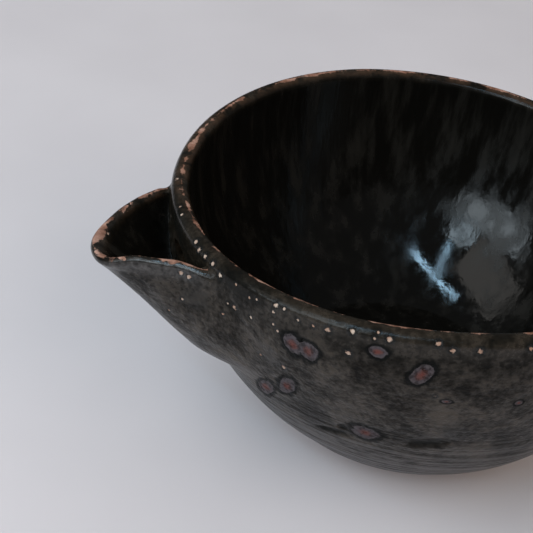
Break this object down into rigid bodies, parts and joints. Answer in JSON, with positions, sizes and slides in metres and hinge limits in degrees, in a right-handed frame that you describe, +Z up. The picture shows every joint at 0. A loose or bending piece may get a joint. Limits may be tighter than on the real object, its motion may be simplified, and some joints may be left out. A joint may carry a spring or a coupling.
{
  "type": "katakuchi sake pourer",
  "caption": "Hand-thrown stoneware pouring bowl (katakuchi) in dark iron glaze: a footed round bowl with an unbroken bare-edged rim, and an open half-cone spout luted to the wall below it.",
  "frame": {"origin": "middle of the foot ring's resting face, on the axis of the bowl", "axes": "+Z up along the axis of the bowl, +X the way the spout pours"},
  "size_m": [0.1439, 0.124, 0.0668],
  "materials": {
    "clay": "matt",
    "slip": "matt",
    "black_glaze": "gloss"
  },
  "bodies": {
    "root": {"bowl": "clay", "foot_ring": "clay", "spout": "clay", "luting_slip": "slip", "glaze_inside": "black_glaze", "glaze_outside": "black_glaze", "glaze_spout": "black_glaze"}
  },
  "joints": []
}
